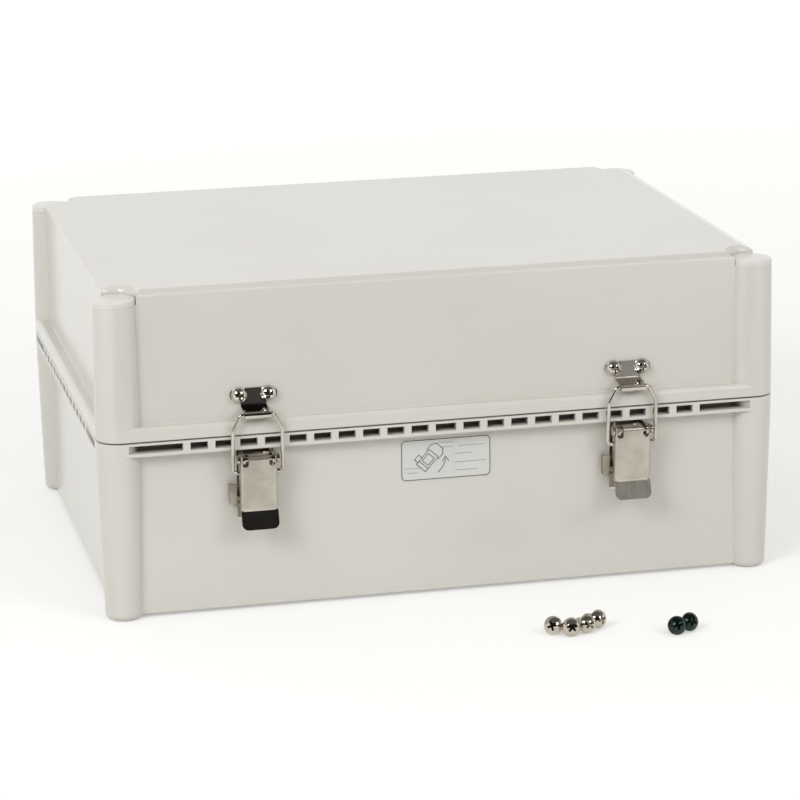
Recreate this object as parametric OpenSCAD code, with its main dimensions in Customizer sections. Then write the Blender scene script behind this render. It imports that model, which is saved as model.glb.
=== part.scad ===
// Hinged polycarbonate enclosure with two draw latches.
// Origin: centre of the four wall-fixing holes, in the plane the feet stand on.
// X runs along the front, -Y faces the front, +Z is up from the wall or bench.

/* [Box] */
// Width over the corner pillars
box_w = 380; // [340:1:460]
// Depth over the corner pillars
box_d = 280; // [240:1:340]
// Height of the base from its feet to its rim
base_h = 100.2; // [90:0.2:140]
// Height of the lid from its rim to its top panel
lid_h = 80.5; // [70:0.1:120]
// Gap left between the two rims
seam_gap = 0.8; // [0.3:0.1:1.2]
// Thickness of the moulded walls
wall = 3.5; // [3:0.1:4.5]
// Distance from the pillars' outer faces back to the wall faces
recess = 7; // [6.5:0.1:8]
// Lean of the wall faces from upright, in degrees
wall_draft = 0.3; // [0:0.1:0.8]
// Width of the slope round the lid's top panel
bevel_w = 6; // [4:0.5:8]
// Height of the slope round the lid's top panel
bevel_h = 2; // [1:0.2:3]
// Radius that rounds the edge between the slope and the lid's walls
top_round = 1.5; // [1:0.1:3]

/* [Corner pillars] */
// Radius of a pillar at the rims
pillar_r = 12.4; // [11.5:0.1:14]
// Lean of the base pillars, in degrees
foot_draft = 1.25; // [0.4:0.05:1.5]
// Lean of the lid pillars, in degrees
lid_draft = 0.75; // [0.2:0.05:1.2]
// Rounding of the feet
foot_round = 3.5; // [2:0.5:5]
// Distance from the feet up to the underside of the floor
foot_h = 2; // [1:0.5:4]
// Depth of the pillar tops below the top panel
cap_drop = 4; // [2.5:0.5:6]
// Radius of the round hollow in a pillar that takes a driver
shaft_r = 5.5; // [4.5:0.1:6]
// Radius of a wall-fixing hole
fixing_r = 3; // [2.2:0.1:3.5]
// Length of a wall-fixing hole
fixing_len = 12; // [6:1:20]
// Width of the hollow between a cap and the top panel's edge
scallop_w = 4.5; // [3:0.5:6]

/* [Rims and seal] */
// Height of the base's rim flange
rim_h = 7.3; // [6:0.1:10]
// Height of the lid's rim flange
lid_rim_h = 7.3; // [6:0.1:10]
// Radius that rounds the upper edge of the lid's rim
ledge_edge = 2.5; // [1:0.1:3]
// Width of a rim pocket
pocket_w = 9.5; // [7:0.5:12]
// Width of the rib between two rim pockets
pocket_rib = 4; // [3:0.5:6]
// Width of the middle rim pocket
middle_pocket_w = 11.5; // [8:0.5:14]
// Height of a rim pocket
pocket_h = 4.3; // [3:0.1:5]
// Thickness of the lip above the rim pockets
pocket_lip = 1.2; // [1:0.1:2]
// Depth of a rim pocket
pocket_deep = 8.5; // [4:0.5:8.5]
// Length of the solid rim at each corner
pocket_end = 16; // [15:0.1:26]
// Shortest length of the last pocket in a row
last_pocket_min = 20; // [12:1:30]
// Width of the gasket
gasket_w = 4; // [3:0.2:5]
// Height of the gasket
gasket_h = 2.8; // [2:0.1:3.2]
// Depth of the gasket's groove
groove_h = 4; // [3.5:0.1:4.5]
// Distance from the rims' outer face to the groove
groove_in = 4; // [3.5:0.1:4.5]
// Thickness of the tongue that presses on the gasket
tongue_w = 1.6; // [1.2:0.1:2]

/* [Inside] */
// Height of the mounting plate's bosses above the floor
boss_h = 11; // [8:1:20]
// Radius of a boss
boss_r = 6; // [5:0.5:8]
// Thickness of the mounting plate
plate_t = 2; // [1.5:0.5:3]
// Gap round the mounting plate
plate_gap = 5; // [3:1:12]
// Distance from the plate's left and right edges to its screws
plate_screw_in = 30; // [24:1:45]
// Distance from the plate's front and back edges to its screws
plate_screw_side = 10; // [8:1:20]
// Distance from the plate's right edge to the earth screws
earth_in = 14; // [10:1:20]
// Outer radius of a brass insert
insert_r = 3.4; // [3.2:0.1:4]
// Length of a brass insert
insert_len = 8; // [6:0.5:9]
// Distance between the two earth screws
earth_pitch = 30; // [20:1:50]

/* [Screws] */
// Radius of a screw's shank
shank_r = 2.4; // [2:0.1:2.6]
// Radius of a screw's round head
head_r = 4.45; // [4:0.05:4.6]
// Height of a screw's round head
head_h = 3.4; // [2.6:0.1:3.6]
// Play round a screw in its hole
screw_play = 0.2; // [0.1:0.05:0.3]
// Thickness of a nut
nut_h = 4; // [3:0.5:5]
// Width of a nut across its flats
nut_af = 8; // [7.5:0.5:9]

/* [Latches] */
// Distance of each latch from the middle of the front
latch_x = 104.8; // [60:0.1:120]
// Thickness of the steel sheet
sheet = 1.2; // [1:0.1:1.4]
// Width of the lever
lever_w = 20.3; // [19:0.1:22]
// Depth of the lever's pivot below the seam
pivot_drop = 12.6; // [12:0.1:14]
// Distance of the lever's pivot out from the wall face
pivot_out = 10; // [9.6:0.1:11]
// Distance from the lever's pivot to its tip
lever_len = 38.8; // [34:0.1:42]
// Length of the lever's thumb tip
tip_len = 10.2; // [7:0.1:12]
// Outward bend of the thumb tip, in degrees
tip_bend = 22; // [10:1:30]
// Inward lean of the lever's face, in degrees
lever_lean = 2; // [0:0.5:3]
// Radius of the lever's pin
pin_r = 1.5; // [1.2:0.1:1.7]
// Running clearance round a pin
pin_play = 0.06; // [0.03:0.01:0.1]
// Radius of the bail's wire
wire_r = 1.1; // [0.9:0.05:1.2]
// Distance from the lever's pivot down to the bail's feet
bail_drop = 7.5; // [7:0.1:8]
// Distance of the bail's feet behind the lever's pivot
bail_back = 1; // [0.8:0.1:1.3]
// Height of the keeper's hook above the seam
hook_up = 12.4; // [12:0.1:13]
// Distance of the bail's top bar out from the wall face
hook_out = 10.8; // [10.6:0.1:11.2]
// Width of the bail over its sides
bail_w = 29; // [28:0.1:31]
// Length of the bail's top bar
bar_w = 18; // [16:0.5:20]
// Height of the bail's sloping shoulders
shoulder_h = 8.6; // [7:0.1:10]
// Radius of the bends in the bail
bail_bend = 2.4; // [1.6:0.1:3]
// Play between the bail's bar and the hook
hook_play = 0.4; // [0.3:0.05:0.6]
// Height of the two keeper and hinge screws from the seam
fitting_screw_up = 21.2; // [20:0.1:24]
// Distance between the two screws of a keeper or hinge leaf
fitting_pitch = 16; // [15:0.5:20]
// Height of a keeper or hinge plate
fitting_h = 7; // [6:0.1:8]
// Width of a keeper's plate
keeper_w = 25.8; // [24:0.1:30]
// Width of the neck of a keeper
neck_w = 14.2; // [12:0.1:16]
// Fall of a keeper's shelf from its plate to its hook
shelf_fall = 1.4; // [0.8:0.1:2.5]
// Travel of the safety catch
catch_travel = 2.5; // [1.5:0.1:2.6]
// Height of the safety catch
catch_h = 11; // [9:0.1:11.2]
// Height of a latch base's plate
base_plate_h = 40; // [38:0.5:41]
// Distance from a latch base's lower edge up to its lower screw
base_screw_low = 5; // [4.6:0.1:6]
// Distance from a latch base's upper edge down to its upper screw
base_screw_high = 14; // [13:0.5:15]
// Width of the opening label
label_w = 51; // [40:1:60]
// Height of the opening label
label_h = 23.7; // [18:0.1:26]

/* [Hinges] */
// Length of a hinge's knuckles along its pin
hinge_len = 36; // [30:1:50]
// Radius of the hinge pin
hinge_pin_r = 1.6; // [1.3:0.1:2]

/* [Hidden] */
$fn = 64;

eps = 0.01;                                  // small overreach of cuts

// Planes and axes of the box
face_x = box_w / 2 - recess;                 // wall faces at the rims
face_y = box_d / 2 - recess;
inner_x = face_x - wall;                     // cavity walls
inner_y = face_y - wall;
pillar_x = box_w / 2 - pillar_r;             // pillar axes
pillar_y = box_d / 2 - pillar_r;
floor_z = foot_h + wall;
rim_z = base_h - rim_h;                      // lower edge of the base's rim
lid_z = base_h + seam_gap;                   // lower edge of the lid
seam_z = base_h + seam_gap / 2;
ledge_z = lid_z + lid_rim_h;                 // upper edge of the lid's rim
top_z = lid_z + lid_h;

// Small roundings of the mouldings
edge_round = 0.6;
ledge_round = 0.6;
cavity_round = 2;
seat_round = 0.3;
cap_round = 1;

// Caps on the lid's pillars
cap_t = 3;
cap_gap = 0.6;
plug_len = 6;
plug_play = 0.1;
seat_z = top_z - cap_drop - cap_t;
cap_r = pillar_r - (seat_z - ledge_z) * tan(lid_draft);
scallop_r = cap_r + cap_gap;
scallop_edge = 0.4;                          // rise of the hollow's round above the panel

// Rim pockets and seal
pocket_taper = 0.5;
pocket_pitch = pocket_w + pocket_rib;
first_pocket = middle_pocket_w / 2 + pocket_rib + pocket_w / 2;
seal_corner_r = shaft_r + groove_in + gasket_w + 3;
seal_gap = 0.3;
gasket_play = 0.05;
pocket_run = 1;                              // depth at which the pockets run out at the pillars
tongue_z = lid_z + groove_h - gasket_h - seal_gap;

// Mounting plate
boss_z = floor_z + boss_h;
plate_x = inner_x - plate_gap;
plate_y = inner_y - plate_gap;
plate_screw_x = plate_x - plate_screw_in;
plate_screw_y = plate_y - plate_screw_side;

// Fasteners
bore_play = 0.05;
insert_play = 0.02;
head_gap = 0.2;                              // between a screw's head and the bend of a fitting
nut_gap = 0.05;
cross_w = 1.1;
cross_depth = 1.5;
screw_past_nut = 1.5;
earth_screw_past = 4;                        // below the mounting plate
insert_left = 1;                             // of an insert's length that its screw leaves free

// Latches
move_gap = 0.3;                              // between pieces that slide past each other
pivot_z = seam_z - pivot_drop;
foot_out = pivot_out - bail_back;            // bail's feet, out from the wall
foot_z = pivot_z - bail_drop;
hook_z = seam_z + hook_up;
bail_len = norm([hook_out - foot_out, hook_z - foot_z]);
bail_lean = atan2(hook_out - foot_out, hook_z - foot_z);
flange_in = lever_w / 2 - sheet;             // inside of the lever's side flanges
flange_r = pin_r + 1.7;
flange_straight = 14;
wire_lap = 0.1;                              // overlap of the wire's straights and bends
bend_thin = 0.015;                           // by which the wire is thinner in its bends
bail_splay = 0.4;                            // by which the bail is wider at its feet
roll_half = 5.6;                             // half width of the lever's roll
notch_drop = 2;
lever_round = 2;
tip_round = 3.5;
ear_out = flange_in - move_gap;
pin_head_gap = 0.3;
pin_head_t = 1;
pin_head_r = 2.4;
ear_wall = 1.6;                              // of an ear round its pin
plate_z1 = pivot_z + 4;                      // latch base plate
plate_z0 = plate_z1 - base_plate_h;
base_screw_zs = [plate_z0 + base_screw_low, plate_z1 - base_screw_high];

// Safety catches
catch_t = 1;
catch_z = (base_screw_zs[0] + base_screw_zs[1]) / 2;
catch_top = sheet + move_gap + catch_t;      // front of the strip, out from the wall
catch_pad_out = catch_top + 2.5;
catch_reach = 4.9;                           // past the lever's side
catch_end = 5;
catch_lug = pivot_out - 2.5;
catch_rivet_x = 1;
rivet_r = 1.2;
rivet_head_t = 0.8;
catch_pad_w = 4;
catch_ramp = 2.5;                            // width of the slope beside the pad
catch_side_gap = 0.35;                       // between the lug and the lever's flange
catch_lug_h = 4;

// Opening label
label_x = 1.5;
label_t = 0.25;
label_drop = 22.9;                           // its middle below the base's rim

// Hinges
hinge_gap = 0.3;                             // between a leaf and the rims
knuckle_r = hinge_pin_r + sheet;
knuckle_len = hinge_len / 5;
hinge_play = 0.2;
leaf_seat = 0.3;                             // how far a leaf's strip runs into its knuckles
leaf_joggle = 4.5;                           // height over which a leaf steps out
hinge_out = recess + hinge_gap + knuckle_r;  // hinge axis, out from the wall face

// Children drawn once at each corner pillar
module at_pillars() {
    for (sx = [-1, 1], sy = [-1, 1])
        translate([sx * pillar_x, sy * pillar_y, 0]) children();
}

// A flat outline whose x points out of the front wall and whose y points up,
// run along the front for the given width
module across(w) {
    rotate([90, 0, -90]) linear_extrude(w, center = true) children();
}

// Children moved to a latch: side -1 is the left one, 1 the right one
module at_latch(side) {
    translate([side * latch_x, -face_y, 0]) children();
}

// Children moved to a hinge on the back, facing away from the wall
module at_hinge(side) {
    mirror([0, 1, 0]) translate([side * latch_x, -face_y, 0]) children();
}

// Outline of a leaning wall pair: half width h at height 0, leaning in by lean
// degrees up to the given height, where the edges are rounded by r
module wall_outline(h, height, lean, r) {
    cx = h - r / cos(lean) - (height - r) * tan(lean);
    cy = height - r;
    wx = cx + r * cos(lean);
    wy = cy + r * sin(lean);
    union() {
        polygon([[-h, 0], [h, 0], [wx, wy], [cx, height], [-cx, height], [-wx, wy]]);
        for (s = [-1, 1]) translate([s * cx, cy]) circle(r);
    }
}

// Block with four leaning walls and a rounded top, standing at height 0
module leaning_block(hx, hy, height, lean, r) {
    intersection() {
        rotate([90, 0, 0]) linear_extrude(4 * hy, center = true) wall_outline(hx, height, lean, r);
        rotate([90, 0, 90]) linear_extrude(4 * hx, center = true) wall_outline(hy, height, lean, r);
    }
}

// Round post that leans in and has a rounded top edge, standing at height 0
module leaning_post(radius, height, lean, r) {
    rotate_extrude() intersection() {
        wall_outline(radius, height, lean, r);
        square([radius + 1, height]);
    }
}

// Runs flat outlines round the box, the first round the pillars and the last
// along the sides: x is the distance out from the pillars' axes, y the height
module around() {
    at_pillars() rotate_extrude() intersection() {
        children(0);
        square([pillar_r + 1, top_z]);
    }
    for (a = [0 : 90 : 270]) on_side(a) linear_extrude(2 * side_half(a), center = true)
        children($children - 1);
}

// Children moved to a side of the box: x points out, y points up and z runs
// along the side; a = 0 is the right side and 270 the front
module on_side(a) {
    translate([pillar_x * cos(a), pillar_y * sin(a), 0]) rotate([90, 0, a]) children();
}

// Half the distance between the two pillar axes of a side
function side_half(a) = a % 180 == 0 ? pillar_y : pillar_x;

// Closed band that runs inside the rims' outer face and passes each pillar on
// its inner side; inset is the distance from the rim's outer face
module seal_band(inset, w) {
    difference() {
        seal_area(inset, shaft_r + inset);
        seal_area(inset + w, shaft_r + inset + w);
    }
}

module seal_area(inset, corner_r) {
    difference() {
        square([box_w - 2 * inset, box_d - 2 * inset], center = true);
        at_pillars() circle(corner_r);
        for (sx = [-1, 1], sy = [-1, 1])
            translate([sx * (pillar_x + pillar_r), sy * (pillar_y + pillar_r)])
                square(2 * pillar_r, center = true);
    }
}

// Middles and widths of the pockets along a side whose half length is half
function pocket_places(half) =
    let (end = half - pocket_end,
         n = floor((end - last_pocket_min - pocket_rib - first_pocket - pocket_w / 2) / pocket_pitch),
         last = first_pocket + n * pocket_pitch + pocket_w / 2 + pocket_rib)
    concat([[0, middle_pocket_w]],
           [for (s = [-1, 1], k = [0 : n]) [s * (first_pocket + k * pocket_pitch), pocket_w]],
           [for (s = [-1, 1]) [s * (last + end) / 2, end - last]]);

// How far a wall face has leaned in at height z
function base_lean(z) = (base_h - z) * tan(wall_draft);
function lid_lean(z) = (z - lid_z) * tan(wall_draft);

// ---------- fasteners ----------

// Round-headed cross-recessed screw: seat at the origin, head towards +Z
module round_screw(len) {
    dome_r = (head_r * head_r + head_h * head_h) / (2 * head_h);
    difference() {
        intersection() {
            translate([0, 0, head_h - dome_r]) sphere(dome_r);
            cylinder(r = head_r, h = head_h);
        }
        for (a = [0, 90]) rotate([0, 0, a])
            translate([0, 0, head_h]) cube([cross_w, head_r, 2 * cross_depth], center = true);
    }
    translate([0, 0, -len]) cylinder(r = shank_r, h = len + head_h / 4);
}

// Hexagon nut standing on the origin
module nut() {
    difference() {
        cylinder(r = nut_af / 2 / cos(30), h = nut_h, $fn = 6);
        translate([0, 0, -1]) cylinder(r = shank_r + bore_play, h = nut_h + 2);
    }
}

// Children at the two screws of a keeper or a hinge leaf, seen on the wall
module at_fitting_screws(up) {
    for (s = [-1, 1])
        translate([s * fitting_pitch / 2, 0, seam_z + up * fitting_screw_up]) rotate([90, 0, 0]) children();
}

// Children at the two screws of a latch base, seen on the wall
module at_latch_screws() {
    for (z = base_screw_zs) translate([0, 0, z]) rotate([90, 0, 0]) children();
}

// Screw through a sheet fitting and the wall, with its end past the nut
module wall_screw() {
    translate([0, 0, sheet]) round_screw(sheet + wall + nut_h + screw_past_nut);
}

// Nut behind the wall, which has leaned in by lean there
module wall_nut(lean) {
    translate([0, 0, -wall - lean - nut_gap - nut_h]) nut();
}

// Clearance hole through the wall
module wall_hole() {
    cylinder(r = shank_r + screw_play, h = 4 * wall, center = true);
}

// ---------- base ----------

module base_shell() {
    color("#d2cfc7") difference() {
        union() {
            difference() {
                base_outside();
                base_cavity();
            }
            at_plate_screws() translate([0, 0, floor_z - 1]) cylinder(r = boss_r, h = boss_h + 1);
            translate([0, 0, base_h - 1]) linear_extrude(tongue_z - base_h + 1)
                seal_band(groove_in + (gasket_w - tongue_w) / 2, tongue_w);
        }
        at_plate_screws() translate([0, 0, boss_z - insert_len])
            cylinder(r = insert_r + insert_play, h = insert_len + 1);
        at_pillars() {
            translate([0, 0, fixing_len]) cylinder(r = shaft_r, h = base_h);
            translate([0, 0, -1]) cylinder(r = fixing_r, h = base_h);
        }
        difference() {
            for (a = [0 : 90 : 270], p = pocket_places(side_half(a) + pillar_r))
                on_side(a) translate([0, 0, p[0]]) linear_extrude(p[1], center = true) pocket_outline();
            at_pillars() translate([0, 0, rim_z - 1]) cylinder(r = pillar_r - pocket_run, h = rim_h + 2);
        }
        for (side = [-1, 1]) {
            at_latch(side) at_latch_screws() wall_hole();
            at_hinge(side) at_fitting_screws(-1) wall_hole();
        }
    }
}

module base_outside() {
    translate([0, 0, base_h]) mirror([0, 0, 1])
        leaning_block(face_x, face_y, base_h - foot_h, wall_draft, edge_round);
    at_pillars() translate([0, 0, rim_z]) mirror([0, 0, 1])
        leaning_post(pillar_r, rim_z, foot_draft, foot_round);
    around() translate([0, base_h]) mirror([0, 1]) rim_outline(rim_h, edge_round);
}

module base_cavity() {
    difference() {
        translate([0, 0, base_h + eps]) mirror([0, 0, 1])
            leaning_block(inner_x, inner_y, base_h + eps - floor_z, wall_draft, cavity_round);
        at_pillars() cylinder(r = pillar_r, h = base_h);
        at_pillars() translate([0, 0, rim_z]) cylinder(r = seal_corner_r, h = rim_h + 1);
    }
}

// Outline of a rim flange, standing at height 0 with its free edge there
module rim_outline(h, r) {
    union() {
        translate([0, r]) square([pillar_r, h - r]);
        square([pillar_r - r, h]);
        translate([pillar_r - r, r]) circle(r);
    }
}

// Pocket moulded into the rim, narrower at its bottom
module pocket_outline() {
    z1 = base_h - pocket_lip;
    z0 = z1 - pocket_h;
    in = pillar_r - pocket_deep;
    out = pillar_r + 1;
    spread = pocket_taper / pocket_deep;
    polygon([[in, z0 + pocket_taper], [out, z0 - spread], [out, z1 + spread], [in, z1 - pocket_taper]]);
}

module at_plate_screws() {
    for (sx = [-1, 1], sy = [-1, 1])
        translate([sx * plate_screw_x, sy * plate_screw_y, 0]) children();
}

module at_earth_screws() {
    for (s = [-1, 1]) translate([plate_x - earth_in, s * earth_pitch / 2, 0]) children();
}

module plate_inserts() {
    color("#b5893f") at_plate_screws() translate([0, 0, boss_z - insert_len]) difference() {
        cylinder(r = insert_r, h = insert_len);
        translate([0, 0, -1]) cylinder(r = shank_r + bore_play, h = insert_len + 2);
    }
}

module mounting_plate() {
    color("#b9bcc0") translate([0, 0, boss_z]) linear_extrude(plate_t) difference() {
        square([2 * plate_x, 2 * plate_y], center = true);
        at_pillars() circle(pillar_r + plate_gap);
        at_plate_screws() circle(shank_r + screw_play);
        at_earth_screws() circle(shank_r + bore_play);
    }
}

module plate_screws() {
    color("#c9c7c2") at_plate_screws() translate([0, 0, boss_z + plate_t])
        round_screw(plate_t + insert_len - insert_left);
}

module earth_screws() {
    color("#1f3a2c") at_earth_screws() translate([0, 0, boss_z + plate_t])
        round_screw(plate_t + earth_screw_past);
}

module opening_label() {
    color("#dfe3e6") translate([label_x, -face_y, base_h]) rotate([wall_draft, 0, 0])
        translate([0, 0, -label_drop]) rotate([90, 0, 0]) linear_extrude(label_t)
            rounded_square(label_w, label_h, 3);
}

module rounded_square(w, h, r) {
    square([w - 2 * r, h], center = true);
    square([w, h - 2 * r], center = true);
    for (sx = [-1, 1], sy = [-1, 1]) translate([sx * (w / 2 - r), sy * (h / 2 - r)]) circle(r);
}

module base_nuts() {
    color("#c9c7c2") for (side = [-1, 1]) {
        at_latch(side) at_latch_screws() wall_nut(base_lean(plate_z0));
        at_hinge(side) at_fitting_screws(-1) wall_nut(base_lean(seam_z - fitting_screw_up - nut_af));
    }
}

// ---------- lid ----------

module lid_shell() {
    color("#dcd9d3") difference() {
        difference() {
            lid_outside();
            at_pillars() rotate_extrude() scallop_outline();
        }
        lid_cavity();
        at_pillars() translate([0, 0, lid_z - 1]) cylinder(r = shaft_r, h = seat_z - lid_z + 2);
        translate([0, 0, lid_z - 1]) linear_extrude(groove_h + 1) seal_band(groove_in, gasket_w);
        for (side = [-1, 1]) {
            at_latch(side) at_fitting_screws(1) wall_hole();
            at_hinge(side) at_fitting_screws(1) wall_hole();
        }
    }
}

module lid_outside() {
    translate([0, 0, lid_z]) intersection() {
        rotate([90, 0, 0]) linear_extrude(4 * face_y, center = true) lid_outline(face_x);
        rotate([90, 0, 90]) linear_extrude(4 * face_x, center = true) lid_outline(face_y);
    }
    at_pillars() translate([0, 0, ledge_z])
        leaning_post(pillar_r, seat_z - ledge_z, lid_draft, seat_round);
    around() {
        translate([0, lid_z]) rim_outline(lid_rim_h, edge_round);
        translate([0, lid_z]) lid_rim_outline();
    }
    for (a = [0 : 90 : 270])
        on_side(a) linear_extrude(2 * side_half(a), center = true) ledge_fillet();
}

// Outline of the lid's body, of half width h where it starts: leaning walls and
// a slope round the flat top, with the edge between them rounded
module lid_outline(h) {
    slope = atan2(bevel_h, bevel_w);
    trim = top_round * tan((90 - slope - wall_draft) / 2);
    edge_z = lid_h - bevel_h;
    edge_x = h - edge_z * tan(wall_draft);
    on_wall = [edge_x + trim * sin(wall_draft), edge_z - trim * cos(wall_draft)];
    on_slope = [edge_x - trim * cos(slope), edge_z + trim * sin(slope)];
    centre = on_wall - top_round * [cos(wall_draft), sin(wall_draft)];
    half = [[h, 0], on_wall, on_slope, [edge_x - bevel_w, lid_h]];
    union() {
        polygon(concat(half, [for (i = [len(half) - 1 : -1 : 0]) [-half[i][0], half[i][1]]]));
        for (s = [-1, 1]) translate([s * centre[0], centre[1]]) circle(top_round);
    }
}

// Outline of the lid's rim along the sides, with its upper edge rounded
module lid_rim_outline() {
    difference() {
        rim_outline(lid_rim_h, edge_round);
        translate([pillar_r - ledge_edge, lid_rim_h - ledge_edge]) difference() {
            square(ledge_edge + 1);
            circle(ledge_edge);
        }
    }
}

// Round transition from the lid's ledge into the wall above it
module ledge_fillet() {
    foot = pillar_r - recess;
    difference() {
        translate([0, ledge_z - 1]) square([foot + ledge_round, ledge_round + 1]);
        translate([foot + ledge_round, ledge_z + ledge_round]) circle(ledge_round);
    }
}

module lid_cavity() {
    difference() {
        translate([0, 0, lid_z - eps])
            leaning_block(inner_x, inner_y, lid_h + eps - wall, wall_draft, cavity_round);
        at_pillars() translate([0, 0, lid_z]) cylinder(r = pillar_r, h = lid_h);
        at_pillars() translate([0, 0, seat_z - wall]) cylinder(r = scallop_r + wall, h = lid_h);
        at_pillars() translate([0, 0, lid_z - 1]) cylinder(r = seal_corner_r, h = groove_h + wall);
    }
}

// What is taken away round and above a cap, seen from the pillar's axis
module scallop_outline() {
    difference() {
        translate([0, seat_z]) square([scallop_r + scallop_w, top_z + 1 - seat_z]);
        translate([scallop_r + scallop_w, top_z + scallop_edge - scallop_w]) circle(scallop_w);
        translate([scallop_r, seat_z - 1])
            square([scallop_w + 1, top_z + scallop_edge - scallop_w - seat_z + 1]);
    }
}

module corner_caps() {
    color("#dcd9d3") at_pillars() {
        translate([0, 0, seat_z]) leaning_post(cap_r, cap_t, lid_draft, cap_round);
        translate([0, 0, seat_z - plug_len]) cylinder(r = shaft_r - plug_play, h = plug_len + eps);
    }
}

module seal_gasket() {
    color("#3a3a3a") translate([0, 0, lid_z + groove_h - gasket_h]) linear_extrude(gasket_h)
        seal_band(groove_in + gasket_play, gasket_w - 2 * gasket_play);
}

module lid_nuts() {
    color("#c9c7c2") for (side = [-1, 1]) {
        at_latch(side) at_fitting_screws(1) wall_nut(lid_lean(seam_z + fitting_screw_up + nut_af));
        at_hinge(side) at_fitting_screws(1) wall_nut(lid_lean(seam_z + fitting_screw_up + nut_af));
    }
}

// ---------- latches ----------

module keeper(side) {
    color("#b8b6b1") at_latch(side) difference() {
        union() {
            translate([0, 0, seam_z + fitting_screw_up]) rotate([90, 0, 0]) linear_extrude(sheet)
                rounded_square(keeper_w, fitting_h, fitting_h / 2 - 0.1);
            across(neck_w) keeper_outline();
        }
        at_fitting_screws(1) wall_hole();
    }
}

// Side view of a keeper: wall plate, sloping shelf and upturned hook
module keeper_outline() {
    inner_r = wire_r + hook_play;
    outer_r = inner_r + sheet;
    in = hook_out - outer_r;
    top = hook_z + sheet;
    plate_low = min(top + shelf_fall, seam_z + fitting_screw_up - head_r - head_gap);
    plate_in = seam_z + fitting_screw_up - fitting_h / 2 + sheet;
    polygon([[0, plate_in], [sheet, plate_in], [sheet, plate_low], [in + sheet, top],
             [in + sheet, hook_z], [in, hook_z], [0, plate_low - sheet]]);
    translate([hook_out, hook_z]) difference() {
        circle(outer_r);
        circle(inner_r);
        translate([-outer_r, 0]) square(2 * outer_r);
    }
}

module latch_base(side) {
    color("#a9a7a2") at_latch(side) difference() {
        union() {
            translate([0, 0, (plate_z0 + plate_z1) / 2]) rotate([90, 0, 0]) linear_extrude(sheet)
                rounded_square(lever_w, plate_z1 - plate_z0, 2);
            for (s = [-1, 1]) translate([s * (ear_out - sheet / 2), 0, 0]) across(sheet) ear_outline();
            translate([catch_rivet_x, 0, catch_z]) rotate([90, 0, 0]) {
                cylinder(r = rivet_r, h = catch_top + move_gap);
                translate([0, 0, catch_top + move_gap]) cylinder(r = 2 * rivet_r, h = rivet_head_t);
            }
        }
        at_latch_screws() wall_hole();
        translate([0, -pivot_out, pivot_z]) rotate([0, 90, 0])
            cylinder(r = pin_r + pin_play, h = lever_w + 2, center = true);
    }
}

// Side view of an ear that carries the lever's pin
module ear_outline() {
    ear_r = pin_r + ear_wall;
    translate([0, pivot_z - ear_r]) square([pivot_out, 2 * ear_r]);
    translate([pivot_out, pivot_z]) circle(ear_r);
}

module lever_pin(side) {
    color("#b8b6b1") at_latch(side) translate([0, -pivot_out, pivot_z]) rotate([0, 90, 0]) {
        cylinder(r = pin_r, h = lever_w + 2 * pin_head_gap, center = true);
        for (s = [-1, 1]) translate([0, 0, s * (lever_w / 2 + pin_head_gap + pin_head_t / 2)])
            cylinder(r = pin_head_r, h = pin_head_t, center = true);
    }
}

module latch_lever(side) {
    color("#bdb9b0") at_latch(side) difference() {
        translate([0, -pivot_out, pivot_z]) rotate([lever_lean, 0, 0]) lever_blank();
        translate([0, -pivot_out, pivot_z]) rotate([0, 90, 0])
            cylinder(r = pin_r + pin_play, h = lever_w + 2, center = true);
        translate([0, -foot_out, foot_z]) rotate([0, 90, 0])
            cylinder(r = wire_r + pin_play, h = lever_w + 2, center = true);
    }
}

// Lever bent from sheet, drawn about its pivot with its face upright
module lever_blank() {
    roll_r = pin_r + sheet;
    step = lever_len - tip_len;
    difference() {
        intersection() {
            translate([0, 0, -step]) linear_extrude(step + flange_r) channel_outline(roll_r);
            across(lever_w) lever_side(roll_r, step);
        }
        // the face ends in a roll between two round-ended notches
        for (s = [-1, 1]) {
            notch_w = flange_in - roll_half;
            translate([s * (roll_half + notch_w / 2), 0, 0]) rotate([90, 0, 0]) linear_extrude(3 * roll_r) {
                translate([0, -notch_drop]) circle(notch_w / 2);
                translate([-notch_w / 2, -notch_drop]) square([notch_w, notch_drop + 2 * flange_r]);
            }
        }
        translate([0, -2 * roll_r, flange_r])
            cube([2 * roll_half + sheet, 4 * roll_r, 2 * flange_r], center = true);
    }
    across(2 * roll_half) difference() {
        circle(roll_r);
        circle(pin_r + pin_play);
    }
    translate([0, -roll_r, -step]) rotate([-tip_bend, 0, 0]) thumb_tip();
}

// Plan of the lever's channel, open towards the wall
module channel_outline(roll_r) {
    depth = roll_r + flange_r;
    difference() {
        front_rounded(lever_w, depth, lever_round, roll_r);
        front_rounded(lever_w - 2 * sheet, depth + 1, lever_round - 0.9 * sheet, roll_r - sheet);
    }
}

// Rectangle whose front edge stands front before the origin with rounded corners
module front_rounded(w, d, r, front) {
    translate([-w / 2, -front + r]) square([w, d - r]);
    translate([-w / 2 + r, -front]) square([w - 2 * r, d]);
    for (s = [-1, 1]) translate([s * (w / 2 - r), -front + r]) circle(r);
}

// Side view of the lever: rounded about its pivot, shallower near the tip
module lever_side(roll_r, step) {
    circle(flange_r);
    polygon([[-flange_r, 0], [-flange_r, -flange_straight], [roll_r - 2 * sheet, -step],
             [roll_r, -step], [roll_r, 0]]);
}

// Thumb tip below the lever's face
module thumb_tip() {
    r = tip_round;
    rotate([90, 0, 0]) translate([0, 0, -sheet]) linear_extrude(sheet) {
        translate([-lever_w / 2, -tip_len + r]) square([lever_w, tip_len - r + sheet / 4]);
        translate([-lever_w / 2 + r, -tip_len]) square([lever_w - 2 * r, tip_len]);
        for (s = [-1, 1]) translate([s * (lever_w / 2 - r), -tip_len + r]) circle(r);
    }
}

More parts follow.
